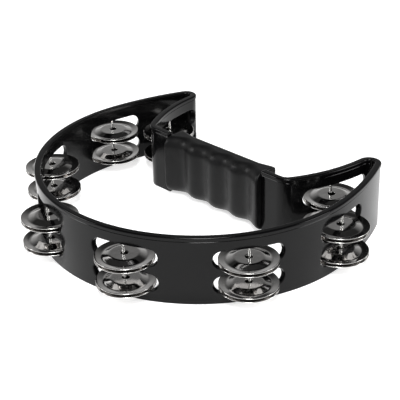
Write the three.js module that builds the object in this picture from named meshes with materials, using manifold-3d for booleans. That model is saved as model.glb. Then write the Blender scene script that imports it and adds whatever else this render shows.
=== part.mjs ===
// A half-moon hand tambourine: one moulded frame with two horns and a straight handle,
// a rubber grip on the handle, and eight stations of jingles in two rows.
// Each station has one upright pin, and each of its two slots holds a pair of small cymbals.
//
// Millimetres, +Z up. The tambourine lies flat on z = 0, +X runs along the handle and
// +Y points out of the cutaway between the horns. The origin is under the middle of the whole object.
import * as THREE from "three";
import { mergeVertices } from "three/addons/utils/BufferGeometryUtils.js";
import Module from "manifold-3d";

const wasm = await Module();
wasm.setup();

// Frame outline, drawn about the centre of the big arc
const ARC_RADIUS = 130; // outer face of the round front
const HORN_RADIUS = 235; // flatter outer face of each horn
const HORN_START = deg(8.5); // where the big arc hands over to the horn, above +X
const HORN_END = deg(25); // where the horn's outer face meets its tip
const TIP_RADIUS = 8.8;
const TIP_TURN = deg(177.9); // direction from the tip's centre to the cutaway's centre
const CUTAWAY_RADIUS = 125.4; // hollow face of each horn
const CORNER_RADIUS = 7; // between the horn and the handle, on the cutaway side
const HANDLE_BACK = 15.9; // y of the handle wall's face on the cutaway side

// Frame section
const HEIGHT = 53.4;
const WALL = 4.2;
const BEAD_PROUD = 0.6; // how far the top bead stands out on each side
const BEAD_HEIGHT = 3.2;

// Handle and grip
const GRIP_LENGTH = 102;
const GRIP_HEIGHT = 49.4;
const GRIP_FRONT = 10.2; // mean y of the fluted side
const GRIP_BACK = 26.6; // y of the palm side
const GRIP_BEVEL = 4;
const FINGER_PITCH = 23.3;
const FINGER_DEPTH = 1.4; // above and below the mean
const FLARE_FRONT = 5.5; // how far each end swells towards the arc
const FLARE_BACK = 2.5;
const CORE_LENGTH = GRIP_LENGTH + 9;
const CORE_HEIGHT = 35;
const CORE_FRONT = 13.7;
const CORE_BACK = 23.2;

// Jingle stations
const ARC_STATIONS = { front: deg(19.4), side: deg(59.6), rear: deg(97.1) }; // pins, either side of the middle
const HORN_STATION_Y = 48.8;
const SLOT_LENGTH = 52;
const HORN_SLOT_SHIFT = 5.2; // slot's middle beyond the pin, towards the tip
const HORN_SLOT_LENGTH = 60;
const SLOT_HEIGHT = 13.6;
const ROWS = { upper: 35.1, lower: 15.2 }; // height of each slot's middle
const PIN_RADIUS = 0.9;
const PIN_BOTTOM = 1.5;
const PIN_TOP = 47;
const GAP = 0.3; // between pieces that touch

// Jingle profile, over the plane midway between a pair's two cymbals
const JINGLE_RADIUS = 21.7;
const JINGLE_SHEET = 0.55;
const HOLE_RADIUS = 2.9;
const CROWN_RADIUS = 0.5 * JINGLE_RADIUS;
const VALLEY_RADIUS = 0.755 * JINGLE_RADIUS;
const CROWN_LIFT = 2.2;
const RIM_LIFT = 1.2;
const JINGLE_HANG = 1.2; // how far each cymbal lies off its pin, towards the inside of the frame
const JINGLE_SIDES = 16;

const SLOT_DEPTH = 4 * WALL; // long enough to cut right through the curved wall
const CHORD = 9; // longest straight step along the frame's outline

// Points that follow from the driving dimensions
const hornCentre = polar(ARC_RADIUS - HORN_RADIUS, HORN_START);
const tipCentre = hornCentre.clone().add(polar(HORN_RADIUS - TIP_RADIUS, HORN_END));
const cutawayCentre = tipCentre.clone().add(polar(CUTAWAY_RADIUS + TIP_RADIUS, TIP_TURN));
const cornerY = HANDLE_BACK + CORNER_RADIUS;
const cornerTurn = Math.asin((cornerY - cutawayCentre.y) / (CUTAWAY_RADIUS - CORNER_RADIUS));
const cornerCentre = cutawayCentre.clone().add(polar(CUTAWAY_RADIUS - CORNER_RADIUS, cornerTurn));
const pairHeight = 2 * (CROWN_LIFT + JINGLE_SHEET);

function deg(angle) {
  return THREE.MathUtils.degToRad(angle);
}

function polar(radius, angle) {
  return new THREE.Vector2(radius * Math.cos(angle), radius * Math.sin(angle));
}

function arcPoints(centre, radius, from, to) {
  const steps = Math.max(4, Math.ceil((radius * Math.abs(to - from)) / CHORD));
  const points = [];
  for (let i = 0; i <= steps; i++) {
    points.push(polar(radius, from + ((to - from) * i) / steps).add(centre));
  }
  return points;
}

// The frame's outline moved outwards by `proud`, anticlockwise from the front of the arc.
function frameOutline(proud) {
  const right = [
    ...arcPoints(new THREE.Vector2(), ARC_RADIUS + proud, -Math.PI / 2, HORN_START),
    ...arcPoints(hornCentre, HORN_RADIUS + proud, HORN_START, HORN_END).slice(1),
    ...arcPoints(tipCentre, TIP_RADIUS + proud, HORN_END, TIP_TURN).slice(1),
    ...arcPoints(cutawayCentre, CUTAWAY_RADIUS - proud, TIP_TURN - Math.PI, cornerTurn).slice(1),
    ...arcPoints(cornerCentre, CORNER_RADIUS - proud, cornerTurn, -Math.PI / 2).slice(1),
  ];
  const left = right
    .slice(1)
    .reverse()
    .map((p) => new THREE.Vector2(-p.x, p.y));
  return [...right, ...left];
}

function extrude(points, height, base, options = {}) {
  const shape = new THREE.Shape(points);
  const geometry = new THREE.ExtrudeGeometry(shape, { depth: height, bevelEnabled: false, ...options });
  return geometry.translate(0, 0, base);
}

function block(xSize, ySize, zSize, x, y, z) {
  return new THREE.BoxGeometry(xSize, ySize, zSize).translate(x, y, z);
}

function upright(radius, bottom, top, sides) {
  return new THREE.CylinderGeometry(radius, radius, top - bottom, sides)
    .rotateX(Math.PI / 2)
    .translate(0, 0, (top + bottom) / 2);
}

function solid(geometry) {
  const bare = geometry.clone();
  bare.deleteAttribute("normal");
  bare.deleteAttribute("uv");
  const merged = mergeVertices(bare, 1e-4);
  return new wasm.Manifold(
    new wasm.Mesh({
      numProp: 3,
      vertProperties: new Float32Array(merged.attributes.position.array),
      triVerts: new Uint32Array(merged.index.array),
    }),
  );
}

function geometryOf(made) {
  const mesh = made.getMesh();
  const geometry = new THREE.BufferGeometry();
  geometry.setAttribute("position", new THREE.BufferAttribute(new Float32Array(mesh.vertProperties), 3));
  geometry.setIndex(new THREE.BufferAttribute(new Uint32Array(mesh.triVerts), 1));
  geometry.computeVertexNormals();
  return geometry;
}

const materials = {
  frame: new THREE.MeshStandardMaterial({ color: 0x232324, roughness: 0.32, metalness: 0 }),
  grip: new THREE.MeshStandardMaterial({ color: 0x262627, roughness: 0.72, metalness: 0 }),
  pin: new THREE.MeshStandardMaterial({ color: 0xc4c4c2, roughness: 0.22, metalness: 1 }),
  jingle: new THREE.MeshStandardMaterial({ color: 0x75716d, roughness: 0.16, metalness: 1 }),
};

function piece(name, geometry, look) {
  const mesh = new THREE.Mesh(geometry, materials[look].clone());
  mesh.name = name;
  return mesh;
}

// Where each station's pin and slots are, and which way the wall faces at each.
function stations() {
  const found = [];
  for (const [side, sign] of [["left", -1], ["right", 1]]) {
    const arcSpot = (turn) => {
      const facing = -Math.PI / 2 + sign * turn;
      return { facing, at: polar(ARC_RADIUS - WALL / 2, facing) };
    };
    for (const [part, turn] of Object.entries(ARC_STATIONS)) {
      const slot = { ...arcSpot(turn), length: SLOT_LENGTH };
      found.push({ name: `${side}_${part}`, ...arcSpot(turn), inwards: -1, slot });
    }
    const hornSpot = (turn) => {
      const at = polar(CUTAWAY_RADIUS + WALL / 2, turn).add(cutawayCentre);
      at.x *= sign;
      return { facing: sign < 0 ? Math.PI - turn : turn, at };
    };
    const turn = Math.asin((HORN_STATION_Y - cutawayCentre.y) / (CUTAWAY_RADIUS + WALL / 2));
    const slot = { ...hornSpot(turn + HORN_SLOT_SHIFT / CUTAWAY_RADIUS), length: HORN_SLOT_LENGTH };
    found.push({ name: side + "_horn", ...hornSpot(turn), inwards: 1, slot });
  }
  return found;
}

// A round-ended slot through the wall, as the solid to take away.
function slotCutter(slot, middle) {
  const end = SLOT_HEIGHT / 2;
  const straight = slot.length / 2 - end;
  const outline = new THREE.Shape();
  outline.absarc(straight, 0, end, -Math.PI / 2, Math.PI / 2, false);
  outline.absarc(-straight, 0, end, Math.PI / 2, (3 * Math.PI) / 2, false);
  const cutter = new THREE.ExtrudeGeometry(outline, { depth: SLOT_DEPTH, bevelEnabled: false, curveSegments: 3 });
  return cutter
    .translate(0, 0, -SLOT_DEPTH / 2)
    .rotateX(Math.PI / 2)
    .rotateZ(slot.facing - Math.PI / 2)
    .translate(slot.at.x, slot.at.y, middle);
}

function frameGeometry() {
  const band = (proud, height, base) => {
    const outside = extrude(frameOutline(proud), height, base);
    const inside = extrude(frameOutline(-WALL - proud), height + 2, base - 1);
    return solid(outside).subtract(solid(inside));
  };
  let frame = band(0, HEIGHT, 0).add(band(BEAD_PROUD, BEAD_HEIGHT, HEIGHT - BEAD_HEIGHT));
  // the wall gives way to the core along the grip
  const gap = block(GRIP_LENGTH + 2 * GAP, 3 * WALL, HEIGHT + 2, 0, HANDLE_BACK - WALL / 2, HEIGHT / 2);
  frame = frame.subtract(solid(gap));
  const coreY = (CORE_FRONT + CORE_BACK) / 2;
  frame = frame.add(solid(block(CORE_LENGTH, CORE_BACK - CORE_FRONT, CORE_HEIGHT, 0, coreY, HEIGHT / 2)));
  for (const station of stations()) {
    for (const middle of Object.values(ROWS)) {
      frame = frame.subtract(solid(slotCutter(station.slot, middle)));
    }
    const hole = upright(PIN_RADIUS + GAP, -1, PIN_TOP + GAP, 8);
    frame = frame.subtract(solid(hole.translate(station.at.x, station.at.y, 0)));
  }
  return geometryOf(frame);
}

// How far the grip has swollen at x: 0 along the fingers, rising to 1 at either end.
function flare(x) {
  const start = 1.5 * FINGER_PITCH;
  const t = THREE.MathUtils.clamp((Math.abs(x) - start) / (GRIP_LENGTH / 2 - start), 0, 1);
  return t * t * (3 - 2 * t);
}

function gripFront(x) {
  const fingers = Math.min(Math.abs(x), 1.5 * FINGER_PITCH);
  const ripple = FINGER_DEPTH * Math.cos((2 * Math.PI * fingers) / FINGER_PITCH);
  return GRIP_FRONT - ripple - FLARE_FRONT * flare(x);
}

function gripBack(x) {
  return GRIP_BACK + FLARE_BACK * flare(x);
}

function gripGeometry() {
  const side = (yAt, from, to, steps) => {
    const points = [];
    for (let i = 0; i <= steps; i++) {
      const x = from + ((to - from) * i) / steps;
      points.push(new THREE.Vector2(x, yAt(x)));
    }
    return points;
  };
  const half = GRIP_LENGTH / 2;
  const outline = [...side(gripFront, -half, half, 36), ...side(gripBack, half, -half, 12)];
  const sleeve = extrude(outline, GRIP_HEIGHT - 2 * GRIP_BEVEL, (HEIGHT - GRIP_HEIGHT) / 2 + GRIP_BEVEL, {
    bevelEnabled: true,
    bevelThickness: GRIP_BEVEL,
    bevelSize: GRIP_BEVEL / 2,
    bevelOffset: -GRIP_BEVEL / 2,
    bevelSegments: 2,
  });
  const channel = block(
    GRIP_LENGTH + 2,
    CORE_BACK - CORE_FRONT + 2 * GAP,
    CORE_HEIGHT + 2 * GAP,
    0,
    (CORE_FRONT + CORE_BACK) / 2,
    HEIGHT / 2,
  );
  return geometryOf(solid(sleeve).subtract(solid(channel)));
}

// One cymbal, crown up, its valley just above z = 0. The profile runs out along the
// underside and back along the top.
function jingleGeometry() {
  const underside = [
    [HOLE_RADIUS, CROWN_LIFT],
    [CROWN_RADIUS, CROWN_LIFT],
    [VALLEY_RADIUS, GAP / 2],
    [JINGLE_RADIUS, RIM_LIFT],
  ];
  const top = underside.map(([r, z]) => [r, z + JINGLE_SHEET]).reverse();
  const profile = [...underside, ...top, underside[0]].map(([r, z]) => new THREE.Vector2(r, z));
  return new THREE.LatheGeometry(profile, JINGLE_SIDES).rotateX(Math.PI / 2);
}

function stationPieces(station) {
  const pieces = [piece(station.name + "_pin", upright(PIN_RADIUS, PIN_BOTTOM, PIN_TOP, 8), "pin")];
  const hang = polar(station.inwards * JINGLE_HANG, station.facing);
  for (const [row, middle] of Object.entries(ROWS)) {
    const floor = middle - SLOT_HEIGHT / 2;
    for (const place of ["top", "bottom"]) {
      const jingle = piece(`${station.name}_${row}_jingle_${place}`, jingleGeometry(), "jingle");
      if (place === "bottom") jingle.rotation.x = Math.PI;
      jingle.position.set(hang.x, hang.y, floor + GAP + pairHeight / 2);
      pieces.push(jingle);
    }
  }
  const group = new THREE.Group();
  group.add(...pieces);
  group.position.set(station.at.x, station.at.y, 0);
  return group;
}

const tambourine = new THREE.Group();
tambourine.add(piece("frame", frameGeometry(), "frame"));
tambourine.add(piece("grip_sleeve", gripGeometry(), "grip"));
for (const station of stations()) tambourine.add(stationPieces(station));

// The object's middle in Y lies between the front jingles and the horn tips.
const extent = new THREE.Box3().setFromObject(tambourine);
tambourine.position.y = -(extent.min.y + extent.max.y) / 2;

export default tambourine;
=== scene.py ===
"""Looks for a half-moon hand tambourine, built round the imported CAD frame.

Metres, in the row frame: the tambourine lies flat on z = 0, +X runs along the handle and +Y
points out of the cutaway between the two horns.
"""
import math

import bmesh
import bpy
from mathutils import Matrix, Vector


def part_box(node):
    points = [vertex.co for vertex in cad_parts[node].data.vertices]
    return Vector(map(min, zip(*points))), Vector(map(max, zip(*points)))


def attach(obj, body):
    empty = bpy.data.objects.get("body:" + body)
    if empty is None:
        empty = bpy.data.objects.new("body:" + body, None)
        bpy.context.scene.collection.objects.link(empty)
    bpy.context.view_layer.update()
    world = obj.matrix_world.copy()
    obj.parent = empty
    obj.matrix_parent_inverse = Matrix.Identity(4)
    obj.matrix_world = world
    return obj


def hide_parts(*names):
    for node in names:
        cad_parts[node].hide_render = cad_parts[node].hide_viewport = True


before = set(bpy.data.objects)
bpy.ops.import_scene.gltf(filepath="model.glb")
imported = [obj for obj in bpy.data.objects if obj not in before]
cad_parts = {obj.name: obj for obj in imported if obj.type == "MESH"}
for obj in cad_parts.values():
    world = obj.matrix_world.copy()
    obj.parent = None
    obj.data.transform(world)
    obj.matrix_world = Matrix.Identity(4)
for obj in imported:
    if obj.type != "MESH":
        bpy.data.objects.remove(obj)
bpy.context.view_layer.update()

MM = 0.001

# Frame outline, as in the CAD part
ARC_RADIUS = 130 * MM
HORN_RADIUS = 235 * MM
HORN_START = math.radians(8.5)
HORN_END = math.radians(25)
TIP_RADIUS = 8.8 * MM
TIP_TURN = math.radians(177.9)
CUTAWAY_RADIUS = 125.4 * MM
CORNER_RADIUS = 7 * MM
HANDLE_BACK = 15.9 * MM

# Frame section
HEIGHT = 53.4 * MM
WALL = 4.2 * MM
BEAD_PROUD = 0.6 * MM
BEAD_FOOT = HEIGHT - 3.3 * MM
BEAD_ROUND = 1.2 * MM
EDGE_ROUND = 0.5 * MM
HANDLE_GAP = 52.2 * MM  # half the length of the gap that the grip fills in the wall

# Slots
SLOT_HALF_LENGTH = 26 * MM
HORN_SLOT_HALF = 30 * MM
HORN_SLOT_SHIFT = 5.2 * MM  # slot's middle beyond the pin, towards the tip
SLOT_HALF_HEIGHT = 6.8 * MM
ROWS = {"upper": 35.1 * MM, "lower": 15.2 * MM}
SLOT_ROUND = 0.9 * MM  # rounding of the slot's outer edge
SLOT_LIP = 0.3 * MM  # rounding of its inner edge
SLOT_TAPER = 0.8 * MM  # how much shorter each end of an arc slot is on the inner face
ARC_STATIONS = {"front": math.radians(19.4), "side": math.radians(59.6), "rear": math.radians(97.1)}
HORN_STATION_Y = 48.8 * MM
STATIONS = [f"{side}_{part}" for side in ("left", "right") for part in (*ARC_STATIONS, "horn")]

# Jingles
JINGLE_RADIUS = 21.7 * MM
JINGLE_SHEET = 0.55 * MM
HOLE_RADIUS = 2.9 * MM
CROWN_RADIUS = 0.5 * JINGLE_RADIUS
VALLEY_RADIUS = 0.755 * JINGLE_RADIUS
CROWN_LIFT = 2.2 * MM
RIM_LIFT = 1.2 * MM
PAIR_GAP = 0.3 * MM
PIN_RADIUS = 0.9 * MM
JINGLE_BEND = 0.9 * MM  # half the width over which each bend in a cymbal is rounded
JINGLE_LEAN = math.radians(0.4)  # how far each pair leans, each towards a different side
LEAN_TURN = 2.4  # radians between the directions that one pair and the next lean in

# Grip
GRIP_HALF = 51 * MM
GRIP_BOTTOM = 2 * MM
GRIP_TOP = 51.4 * MM
GRIP_FRONT = 10.2 * MM
GRIP_BACK = 26.6 * MM
FINGER_PITCH = 23.3 * MM
FINGER_DEPTH = 1.4 * MM
FLARE_FRONT = 5.5 * MM
FLARE_BACK = 2.5 * MM
GRIP_LIP = 1.1 * MM  # rounding of the sleeve's end edges
GRIP_CORNERS = (8.5 * MM, 3.2 * MM)  # rounding of its long edges, finger side and palm side

# Core through the grip: y and z of its lowest and highest edges, and its reach past each end of the grip
CORE_LOW = (13.7 * MM, 9.2 * MM)
CORE_HIGH = (23.2 * MM, 44.2 * MM)
CORE_REACH = 4.5 * MM

# The arc's centre, from where the CAD part's front is
ARC_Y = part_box("frame")[0].y + ARC_RADIUS + BEAD_PROUD


def polar(radius, angle):
    return Vector((radius * math.cos(angle), radius * math.sin(angle)))


horn_centre = polar(ARC_RADIUS - HORN_RADIUS, HORN_START)
tip_centre = horn_centre + polar(HORN_RADIUS - TIP_RADIUS, HORN_END)
cutaway_centre = tip_centre + polar(CUTAWAY_RADIUS + TIP_RADIUS, TIP_TURN)
corner_y = HANDLE_BACK + CORNER_RADIUS
corner_turn = math.asin((corner_y - cutaway_centre.y) / (CUTAWAY_RADIUS - CORNER_RADIUS))
corner_centre = cutaway_centre + polar(CUTAWAY_RADIUS - CORNER_RADIUS, corner_turn)

# The right half of the outer face from the middle of the front to the handle:
# centre, radius, first and last angle, and whether the face looks away from the centre (1) or at it (-1).
ARCS = [
    (Vector((0, 0)), ARC_RADIUS, -math.pi / 2, HORN_START, 1),
    (horn_centre, HORN_RADIUS, HORN_START, HORN_END, 1),
    (tip_centre, TIP_RADIUS, HORN_END, TIP_TURN, 1),
    (cutaway_centre, CUTAWAY_RADIUS, TIP_TURN - math.pi, corner_turn, -1),
    (corner_centre, CORNER_RADIUS, corner_turn, -math.pi / 2, -1),
]
ARC_LENGTHS = [radius * abs(last - first) for _, radius, first, last, _ in ARCS]
HALF_LENGTH = sum(ARC_LENGTHS) + corner_centre.x - HANDLE_GAP


def on_wall(s, depth, z):
    """The point at distance s along the outer face (negative to the left), at a depth into the wall
    and a height z."""
    left = abs(s)
    for (centre, radius, first, last, facing), length in zip(ARCS, ARC_LENGTHS):
        if left <= length:
            angle = first + math.copysign(left / radius, last - first)
            spot = centre + polar(radius - facing * depth, angle)
            break
        left -= length
    else:
        spot = Vector((corner_centre.x - left, HANDLE_BACK - depth))
    return Vector((math.copysign(spot.x, s) if s else spot.x, spot.y + ARC_Y, z))


def slot_places():
    """Each station's slots: where their middle is along the outer face, their half length in the middle
    of the wall, and how lengths there grow on the outer face."""
    places = []
    middle = ARC_RADIUS - WALL / 2
    for turn in ARC_STATIONS.values():
        for side in (-1, 1):
            places.append((side * turn * ARC_RADIUS, SLOT_HALF_LENGTH, ARC_RADIUS / middle))
    middle = CUTAWAY_RADIUS + WALL / 2
    turn = math.asin((HORN_STATION_Y - cutaway_centre.y) / middle) + HORN_SLOT_SHIFT / middle
    reach = sum(ARC_LENGTHS[:3]) + CUTAWAY_RADIUS * (TIP_TURN - math.pi - turn)
    for side in (-1, 1):
        places.append((side * reach, HORN_SLOT_HALF, CUTAWAY_RADIUS / middle))
    return sorted(places)


def spread(first, last, steps):
    return [first + (last - first) * i / steps for i in range(steps + 1)]


class Surface:
    """A mesh made face by face, where corners at the same place are one vertex."""

    def __init__(self):
        self.mesh = bmesh.new()
        self.corners = {}

    def corner(self, place):
        key = tuple(round(c, 7) for c in place)
        if key not in self.corners:
            self.corners[key] = self.mesh.verts.new(place)
        return self.corners[key]

    def face(self, *places):
        ring = []
        for vertex in map(self.corner, places):
            if vertex not in ring:
                ring.append(vertex)
        if len(ring) > 2:
            self.mesh.faces.new(ring)

    def strip(self, one, other, closed=False):
        """Quads between two rows of points."""
        count = len(one)
        for i in range(count if closed else count - 1):
            j = (i + 1) % count
            self.face(one[i], one[j], other[j], other[i])

    def finish(self, name, material, body="frame"):
        bmesh.ops.recalc_face_normals(self.mesh, faces=self.mesh.faces)
        data = bpy.data.meshes.new(name)
        self.mesh.to_mesh(data)
        self.mesh.free()
        data.shade_smooth()
        data.materials.append(material)
        piece = bpy.data.objects.new(name, data)
        bpy.context.scene.collection.objects.link(piece)
        return piece


def even_shading(piece, angle=math.radians(35)):
    """Keeps flats flat beside their rounded edges."""
    piece.data.set_sharp_from_angle(angle=angle)
    weighted = piece.modifiers.new("even shading", "WEIGHTED_NORMAL")
    weighted.keep_sharp = True
    weighted.weight = 80


# ---------------------------------------------------------------- materials


def new_material(name):
    material = bpy.data.materials.new(name)
    material.use_nodes = True
    tree = material.node_tree
    return material, tree, tree.nodes["Principled BSDF"]


def noise(tree, scale, detail=4.0, roughness=0.55, source="Object"):
    place = tree.nodes.new("ShaderNodeTexCoord")
    texture = tree.nodes.new("ShaderNodeTexNoise")
    texture.inputs["Scale"].default_value = scale
    texture.inputs["Detail"].default_value = detail
    texture.inputs["Roughness"].default_value = roughness
    tree.links.new(place.outputs[source], texture.inputs["Vector"])
    return texture.outputs["Fac"]


def ramp(tree, source, low, high, start=0.3, end=0.7):
    """Turns a 0 to 1 pattern into values, or colours, from low to high."""
    node = tree.nodes.new("ShaderNodeValToRGB")
    for stop, place, value in zip(node.color_ramp.elements, (start, end), (low, high)):
        stop.position = place
        stop.color = value if isinstance(value, tuple) else (value, value, value, 1)
    tree.links.new(source, node.inputs["Fac"])
    return node.outputs["Color"]


def bump(tree, shader, source, strength, distance, under=None):
    node = tree.nodes.new("ShaderNodeBump")
    node.inputs["Strength"].default_value = strength
    node.inputs["Distance"].default_value = distance
    tree.links.new(source, node.inputs["Height"])
    if under:
        tree.links.new(under, node.inputs["Normal"])
    tree.links.new(node.outputs["Normal"], shader.inputs["Normal"])
    return node.outputs["Normal"]


def plastic_material():
    """Black moulded ABS with a faint flow pattern and a fine satin grain."""
    material, tree, shader = new_material("black_abs")
    shader.inputs["Specular IOR Level"].default_value = 0.18
    flow = noise(tree, 22, detail=3)
    tree.links.new(
        ramp(tree, flow, (0.0016, 0.0016, 0.0018, 1), (0.0034, 0.0034, 0.0036, 1)),
        shader.inputs["Base Color"],
    )
    tree.links.new(ramp(tree, noise(tree, 60, detail=6), 0.10, 0.16), shader.inputs["Roughness"])
    wave = bump(tree, shader, flow, 0.10, 0.5 * MM)
    bump(tree, shader, noise(tree, 2400, detail=2), 0.02, 0.04 * MM, under=wave)
    return material


def rubber_material():
    """Black soft rubber, satin, with a fine pebble and a little dust in it."""
    material, tree, shader = new_material("black_rubber")
    shader.inputs["Specular IOR Level"].default_value = 0.22
    tree.links.new(
        ramp(tree, noise(tree, 90, detail=5), (0.0032, 0.0032, 0.0034, 1), (0.0065, 0.0065, 0.0067, 1)),
        shader.inputs["Base Color"],
    )
    tree.links.new(ramp(tree, noise(tree, 140, detail=5), 0.34, 0.46), shader.inputs["Roughness"])
    bump(tree, shader, noise(tree, 1500, detail=3), 0.15, 0.1 * MM)
    return material


def jingle_material():
    """Bright nickel plate on pressed sheet steel, with faint turning marks round the hole."""
    material, tree, shader = new_material("dark_nickel")
    shader.inputs["Metallic"].default_value = 1
    place = tree.nodes.new("ShaderNodeTexCoord")
    rings = tree.nodes.new("ShaderNodeTexWave")
    rings.wave_type = "RINGS"
    rings.rings_direction = "Z"
    rings.inputs["Scale"].default_value = 900
    rings.inputs["Distortion"].default_value = 1.5
    rings.inputs["Detail"].default_value = 2
    tree.links.new(place.outputs["Object"], rings.inputs["Vector"])
    tree.links.new(
        ramp(tree, noise(tree, 160, detail=4), (0.48, 0.47, 0.46, 1), (0.60, 0.59, 0.58, 1)),
        shader.inputs["Base Color"],
    )
    tree.links.new(ramp(tree, noise(tree, 420, detail=5), 0.07, 0.14), shader.inputs["Roughness"])
    bump(tree, shader, rings.outputs["Fac"], 0.05, 0.02 * MM)
    return material


def pin_material():
    """Bright drawn steel wire."""
    material, tree, shader = new_material("bright_steel")
    shader.inputs["Metallic"].default_value = 1
    tree.links.new(
        ramp(tree, noise(tree, 700, detail=3), (0.62, 0.62, 0.61, 1), (0.78, 0.78, 0.77, 1)),
        shader.inputs["Base Color"],
    )
    tree.links.new(ramp(tree, noise(tree, 900, detail=3), 0.16, 0.26), shader.inputs["Roughness"])
    bump(tree, shader, noise(tree, 3000, detail=2), 0.05, 0.02 * MM)
    return material


# ---------------------------------------------------------------- frame

STEP = 2.4 * MM  # plain wall between two columns of corners
PANEL_MARGIN = 3.2 * MM  # how much longer the panel of wall round a station's slots is, at each end
PANEL_LOW = 1.5 * MM
PANEL_HIGH = HEIGHT - 4.6 * MM
PANEL_MIDDLE = sum(ROWS.values()) / 2
STRAIGHT_STEPS = 14
SHOULDER_STEPS = 4  # of each slot end, the steps that belong to the panel's upper or lower side
END_STEPS = 10  # and those that belong to the panel's end
SHOULDER = math.radians(50)


def half_section():
    """The wall's section from the middle of the bottom edge up one face to the top, as depths from
    that face and heights."""
    foot = spread(0, math.pi / 2, 3)
    section = [(EDGE_ROUND * (1 - math.sin(a)), EDGE_ROUND * (1 - math.cos(a))) for a in foot]
    levels = spread(PANEL_LOW, PANEL_MIDDLE, END_STEPS) + spread(PANEL_MIDDLE, PANEL_HIGH, END_STEPS)[1:]
    section += [(0, z) for z in levels]
    groove = 0.22 * MM
    section += [
        (0, BEAD_FOOT - 2.2 * groove),
        (groove, BEAD_FOOT - groove),
        (groove, BEAD_FOOT),
        (0, BEAD_FOOT + groove),
        (-BEAD_PROUD + groove, BEAD_FOOT + 1.3 * groove),
        (-BEAD_PROUD, BEAD_FOOT + 2.4 * groove),
    ]
    for a in spread(0, math.pi / 2, 5):
        section.append(
            (-BEAD_PROUD + BEAD_ROUND * (1 - math.cos(a)), HEIGHT - BEAD_ROUND * (1 - math.sin(a)))
        )
    return section


def wall_column(section, s, inset=0.0):
    """The outer and inner corners of the wall at s, pulled in by inset where its end is rounded off."""
    held = []
    for depth, z in section:
        proud = BEAD_PROUD if z > BEAD_FOOT else 0
        held.append((max(depth, inset - proud), min(max(z, inset), HEIGHT - inset)))
    outer = [on_wall(s, depth, z) for depth, z in held]
    inner = [on_wall(s, WALL - depth, z) for depth, z in held]
    return outer, inner


def slot_ring(half_length, swell, shorten):
    """A slot's outline about its middle, swollen outwards, from the low corner of its +s end round."""
    reach = half_length - SLOT_HALF_HEIGHT - shorten
    radius = SLOT_HALF_HEIGHT + swell
    ends = spread(-SHOULDER, SHOULDER, END_STEPS)
    rise = spread(SHOULDER, math.pi / 2, SHOULDER_STEPS)[1:]
    quarter = [(reach + radius * math.cos(a), radius * math.sin(a)) for a in ends + rise]
    top = [(reach * (1 - 2 * i / STRAIGHT_STEPS), radius) for i in range(1, STRAIGHT_STEPS)]
    half = quarter + top + [(-s, z) for s, z in reversed(quarter[END_STEPS:])]
    return half[:-1] + [(-s, -z) for s, z in half[:-1]]


def panel_ring(half_length, low, high):
    """The points of a panel's border that go with slot_ring's, about the slot's middle."""
    reach = half_length - SLOT_HALF_HEIGHT
    edge = half_length + PANEL_MARGIN
    side = [(edge, z) for z in spread(low, high, END_STEPS)]
    shoulder = [(s, high) for s in spread(edge, reach, SHOULDER_STEPS)[1:]]
    top = [(reach * (1 - 2 * i / STRAIGHT_STEPS), high) for i in range(1, STRAIGHT_STEPS)]
    half = side + shoulder + top + [(-s, high) for s, _ in reversed(shoulder)]
    other_side = [(-edge, z) for z in spread(high, low, END_STEPS)]
    bottom = [(s, low) for s, _ in reversed(shoulder + top + [(-s, 0) for s, _ in reversed(shoulder)])]
    return half + other_side[:-1] + [(-edge, low)] + bottom


def add_slot(surface, middle_s, half_length, middle_z, low, high, taper):
    """One panel of wall with a slot through it, each end of which is shorter by taper on the inner face."""
    def place(ring, depth):
        return [on_wall(middle_s + s, depth, middle_z + z) for s, z in ring]
    quarter = math.pi / 2
    layers = [
        (SLOT_ROUND * (1 - math.sin(a)), 0, SLOT_ROUND * (1 - math.cos(a))) for a in spread(0, quarter, 4)
    ]
    layers += [
        (SLOT_LIP * (1 - math.cos(a)), taper, WALL - SLOT_LIP * (1 - math.sin(a)))
        for a in spread(0, quarter, 3)
    ]
    rings = [place(slot_ring(half_length, swell, short), depth) for swell, short, depth in layers]
    for one, other in zip(rings, rings[1:]):
        surface.strip(one, other, closed=True)
    border = panel_ring(half_length, low - middle_z, high - middle_z)
    for (swell, short, depth) in (layers[0], layers[-1]):
        edge = slot_ring(half_length, swell, short)
        between = [((a + c) / 2, (b + d) / 2) for (a, b), (c, d) in zip(edge, border)]
        surface.strip(place(edge, depth), place(between, depth), closed=True)
        surface.strip(place(between, depth), place(border, depth), closed=True)


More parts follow.
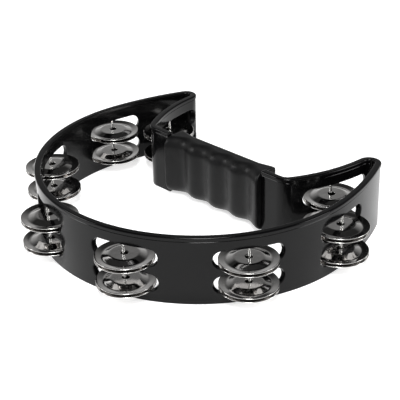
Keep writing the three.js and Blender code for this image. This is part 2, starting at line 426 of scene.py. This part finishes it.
def build_frame(material):
    surface = Surface()
    section = half_section()
    columns = []
    in_panel = set()
    at = -HALF_LENGTH
    for middle, half, stretch in slot_places() + [(HALF_LENGTH, 0, None)]:
        half_length = half * (stretch or 0)
        start = middle - half_length - PANEL_MARGIN if stretch else middle
        columns += spread(at, start, max(1, round((start - at) / STEP)))
        if not stretch:
            break
        first = len(columns) - 1
        ring = panel_ring(half_length, -1, 1)
        columns += sorted({round(middle + s, 9) for s, z in ring if z == 1})[1:]
        in_panel.update(range(first, len(columns) - 1))
        at = columns.pop()
        for name, z in ROWS.items():
            low, high = (PANEL_LOW, PANEL_MIDDLE) if name == "lower" else (PANEL_MIDDLE, PANEL_HIGH)
            taper = 0 if half == HORN_SLOT_HALF else SLOT_TAPER
            add_slot(surface, middle, half_length, z, low, high, taper)
    first_level = 4  # the section's corners below PANEL_LOW come first
    last_level = first_level + 2 * END_STEPS
    built = [wall_column(section, s) for s in columns]
    for i, (one, other) in enumerate(zip(built, built[1:])):
        for side in (0, 1):
            a, b = one[side], other[side]
            if i in in_panel:
                surface.strip(a[: first_level + 1], b[: first_level + 1])
                surface.strip(a[last_level:], b[last_level:])
            else:
                surface.strip(a, b)
        surface.face(one[0][0], one[1][0], other[1][0], other[0][0])
        surface.face(one[0][-1], one[1][-1], other[1][-1], other[0][-1])
    round_off = 0.9 * MM
    for side in (-1, 1):
        last = wall_column(section, side * HALF_LENGTH)
        for a in spread(0, math.pi / 2, 4)[1:]:
            column = wall_column(
                section, side * (HALF_LENGTH + round_off * math.sin(a)), round_off * (1 - math.cos(a))
            )
            for face in (0, 1):
                surface.strip(last[face], column[face])
            surface.face(last[0][0], last[1][0], column[1][0], column[0][0])
            surface.face(last[0][-1], last[1][-1], column[1][-1], column[0][-1])
            last = column
        surface.strip(last[0], last[1])
    piece = surface.finish("frame_moulding", material)
    even_shading(piece)
    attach(piece, "frame")
    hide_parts("frame")
    return piece


# ---------------------------------------------------------------- handle and grip


def rounded_section(low, high, radii, steps=(8, 14)):
    """A rounded rectangle in y and z. radii: at its low-y corners and at its high-y corners."""
    (y0, z0), (y1, z1) = low, high
    corner_steps, side_steps = steps
    corners = [
        (y1, z0, radii[1], -math.pi / 2),
        (y1, z1, radii[1], 0),
        (y0, z1, radii[0], math.pi / 2),
        (y0, z0, radii[0], math.pi),
    ]
    points = []
    for y, z, radius, first in corners:
        cy = y - radius if y == y1 else y + radius
        cz = z - radius if z == z1 else z + radius
        for a in spread(first, first + math.pi / 2, corner_steps):
            points.append((cy + radius * math.cos(a), cz + radius * math.sin(a)))
    ring = []
    for i, (a, b) in enumerate(zip(points, points[1:] + points[:1])):
        corner_end = (i + 1) % (corner_steps + 1) == 0
        extra = side_steps if corner_end else 1
        ring += [(a[0] + (b[0] - a[0]) * k / extra, a[1] + (b[1] - a[1]) * k / extra) for k in range(extra)]
    return ring


def grip_flare(x):
    start = 1.5 * FINGER_PITCH
    t = min(max((abs(x) - start) / (GRIP_HALF - start), 0), 1)
    return t * t * (3 - 2 * t)


def grip_section(x, inset):
    fingers = min(abs(x), 1.5 * FINGER_PITCH)
    ripple = FINGER_DEPTH * math.cos(2 * math.pi * fingers / FINGER_PITCH)
    front = GRIP_FRONT - ripple - FLARE_FRONT * grip_flare(x)
    back = GRIP_BACK + FLARE_BACK * grip_flare(x)
    ring = rounded_section(
        (front + inset, GRIP_BOTTOM + inset),
        (back - inset, GRIP_TOP - inset),
        [radius - inset for radius in GRIP_CORNERS],
    )
    return [Vector((x, y + ARC_Y, z)) for y, z in ring]


def build_grip(material):
    surface = Surface()
    rows = [(x, 0) for x in spread(-GRIP_HALF + GRIP_LIP, GRIP_HALF - GRIP_LIP, 110)]
    rounding = [
        (GRIP_HALF - GRIP_LIP * (1 - math.sin(a)), GRIP_LIP * (1 - math.cos(a)))
        for a in spread(0, math.pi / 2, 5)[1:]
    ]
    rows = [(-x, inset) for x, inset in reversed(rounding)] + rows + rounding
    rings = [grip_section(x, inset) for x, inset in rows]
    for one, other in zip(rings, rings[1:]):
        surface.strip(one, other, closed=True)
    surface.face(*rings[0])
    surface.face(*rings[-1])
    piece = surface.finish("rubber_grip", material)
    even_shading(piece)
    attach(piece, "frame")
    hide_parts("grip_sleeve")
    return piece


def build_core(material):
    """The bar that carries the grip, reaching behind the wall at each end."""
    surface = Surface()
    edge = 0.8 * MM
    rings = []
    for x in (-GRIP_HALF - CORE_REACH, GRIP_HALF + CORE_REACH):
        ring = rounded_section(CORE_LOW, CORE_HIGH, (edge, edge), steps=(3, 1))
        rings.append([Vector((x, y + ARC_Y, z)) for y, z in ring])
    surface.strip(rings[0], rings[1], closed=True)
    surface.face(*rings[0])
    surface.face(*rings[1])
    piece = surface.finish("handle_core", material)
    even_shading(piece)
    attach(piece, "frame")
    return piece


# ---------------------------------------------------------------- jingles


def jingle_lift(r):
    """Height of the cymbal's underside over the pair's middle plane at radius r, with its bends rounded."""
    bends = [
        (0, CROWN_LIFT),
        (CROWN_RADIUS, CROWN_LIFT),
        (VALLEY_RADIUS, PAIR_GAP / 2),
        (JINGLE_RADIUS, RIM_LIFT),
    ]
    def straight(at):
        for (r0, z0), (r1, z1) in zip(bends, bends[1:]):
            if at <= r1:
                return z0 + (z1 - z0) * (at - r0) / (r1 - r0)
        slope = (bends[-1][1] - bends[-2][1]) / (bends[-1][0] - bends[-2][0])
        return bends[-1][1] + slope * (at - bends[-1][0])
    samples = [straight(abs(r + k)) for k in spread(-JINGLE_BEND, JINGLE_BEND, 12)]
    return sum(samples) / len(samples)


def jingle_profile():
    """Radius and height round the cymbal's section: out along the underside, back along the top."""
    half_sheet = JINGLE_SHEET / 2
    radii = spread(HOLE_RADIUS + half_sheet, JINGLE_RADIUS - half_sheet, 44)
    under = [(r, jingle_lift(r)) for r in radii]
    top = [(r, z + JINGLE_SHEET) for r, z in reversed(under)]
    rim_z = under[-1][1] + half_sheet
    hole_z = under[0][1] + half_sheet
    turns = spread(-math.pi / 2, math.pi / 2, 6)[1:-1]
    rim = [(radii[-1] + half_sheet * math.cos(a), rim_z + half_sheet * math.sin(a)) for a in turns]
    hole = [(radii[0] - half_sheet * math.cos(a), hole_z - half_sheet * math.sin(a)) for a in turns]
    return under + rim + top + hole


def jingle_mesh(material):
    surface = Surface()
    profile = jingle_profile()
    sides = 96
    rings = [
        [Vector((*polar(r, 2 * math.pi * i / sides), z)) for r, z in profile] for i in range(sides)
    ]
    for one, other in zip(rings, rings[1:] + rings[:1]):
        surface.strip(one, other, closed=True)
    bmesh.ops.recalc_face_normals(surface.mesh, faces=surface.mesh.faces)
    data = bpy.data.meshes.new("jingle")
    surface.mesh.to_mesh(data)
    surface.mesh.free()
    data.shade_smooth()
    data.materials.append(material)
    return data


def build_jingles(material):
    data = jingle_mesh(material)
    for index, (station, row) in enumerate((s, r) for s in STATIONS for r in ROWS):
        low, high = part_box(f"{station}_{row}_jingle_top")
        middle = Vector(((low.x + high.x) / 2, (low.y + high.y) / 2, low.z - PAIR_GAP / 2))
        lean = Matrix.Rotation(JINGLE_LEAN, 4, Vector((*polar(1, LEAN_TURN * index), 0)))
        spin = Matrix.Rotation(math.pi / 2 * (index % 4), 4, "Z")
        for place in ("top", "bottom"):
            node = f"{station}_{row}_jingle_{place}"
            piece = bpy.data.objects.new(node + "_cymbal", data)
            bpy.context.scene.collection.objects.link(piece)
            turn = Matrix.Rotation(math.pi, 4, "X") if place == "bottom" else Matrix.Identity(4)
            piece.matrix_world = Matrix.Translation(middle) @ lean @ turn @ spin
            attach(piece, node)
            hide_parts(node)


def build_pins(material):
    for station in STATIONS:
        low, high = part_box(station + "_pin")
        x, y = (low.x + high.x) / 2, (low.y + high.y) / 2
        chamfer = 0.25 * MM
        surface = Surface()
        sections = [
            (low.z, PIN_RADIUS - chamfer),
            (low.z + chamfer, PIN_RADIUS),
            (high.z - chamfer, PIN_RADIUS),
            (high.z, PIN_RADIUS - chamfer),
        ]
        rings = [
            [Vector((x, y, z)) + Vector((*polar(r, 2 * math.pi * i / 24), 0)) for i in range(24)]
            for z, r in sections
        ]
        for one, other in zip(rings, rings[1:]):
            surface.strip(one, other, closed=True)
        surface.face(*rings[0])
        surface.face(*rings[-1])
        piece = surface.finish(station + "_wire_pin", material)
        even_shading(piece)
        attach(piece, "frame")
        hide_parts(station + "_pin")


# ---------------------------------------------------------------- studio


def build_floor():
    surface = Surface()
    reach = 6.0
    surface.face(*[Vector((x * reach, y * reach, 0)) for x, y in ((-1, -1), (1, -1), (1, 1), (-1, 1))])
    data = bpy.data.meshes.new("studio_floor")
    surface.mesh.to_mesh(data)
    surface.mesh.free()
    material, _, shader = new_material("pale_floor")
    shader.inputs["Base Color"].default_value = (0.9, 0.9, 0.9, 1)
    shader.inputs["Roughness"].default_value = 0.9
    shader.inputs["Specular IOR Level"].default_value = 0.1
    shader.inputs["Emission Color"].default_value = (1, 1, 1, 1)
    shader.inputs["Emission Strength"].default_value = 0.6
    data.materials.append(material)
    floor = bpy.data.objects.new("studio_floor", data)
    bpy.context.scene.collection.objects.link(floor)


def add_area_light(name, place, target, size, power):
    light = bpy.data.lights.new(name, "AREA")
    light.shape = "RECTANGLE"
    light.size, light.size_y = size
    light.energy = power
    lamp = bpy.data.objects.new(name, light)
    lamp.location = place
    lamp.rotation_euler = (Vector(target) - Vector(place)).to_track_quat("-Z", "Y").to_euler()
    bpy.context.scene.collection.objects.link(lamp)


def build_light():
    world = bpy.data.worlds.new("studio")
    bpy.context.scene.world = world
    world.use_nodes = True
    tree = world.node_tree
    background = tree.nodes["Background"]
    place = tree.nodes.new("ShaderNodeTexCoord")
    split = tree.nodes.new("ShaderNodeSeparateXYZ")
    tree.links.new(place.outputs["Generated"], split.inputs["Vector"])
    tree.links.new(ramp(tree, split.outputs["Z"], 0.8, 0.03, start=0.0, end=0.66), background.inputs["Color"])
    background.inputs["Strength"].default_value = 1.0
    add_area_light("overhead", (0.35, -0.35, 1.95), (0, 0, 0), (0.7, 0.7), 18)
    add_area_light("front_key", (0.75, -0.75, 1.35), (0, 0, 0), (0.35, 0.35), 11)
    add_area_light("left_fill", (-1.0, -0.9, 0.9), (0, 0, 0), (0.5, 0.5), 7)
    add_area_light("right_fill", (1.1, 0.8, 0.9), (0, 0, 0), (0.5, 0.5), 7)


def build_camera():
    """The view from the right of the front, 27.4 degrees above the floor."""
    azimuth = math.radians(45.78)
    elevation = math.radians(27.44)
    roll = math.radians(-1.33)
    distance = 0.9345
    target = Vector((-22.6 * MM, 18.3 * MM + ARC_Y, 0))
    away = Vector((
        math.cos(elevation) * math.sin(azimuth),
        -math.cos(elevation) * math.cos(azimuth),
        math.sin(elevation),
    ))
    data = bpy.data.cameras.new("camera")
    data.sensor_width = 36
    data.lens = 102.02
    camera = bpy.data.objects.new("camera", data)
    camera.location = target + away * distance
    level = away.to_track_quat("Z", "Y")
    camera.rotation_euler = (level.to_matrix() @ Matrix.Rotation(roll, 3, "Z")).to_euler()
    bpy.context.scene.collection.objects.link(camera)
    bpy.context.scene.camera = camera


build_camera()
build_light()
build_floor()
abs_plastic = plastic_material()
build_frame(abs_plastic)
build_core(abs_plastic)
build_grip(rubber_material())
build_jingles(jingle_material())
build_pins(pin_material())
bpy.context.scene.view_settings.view_transform = "Standard"
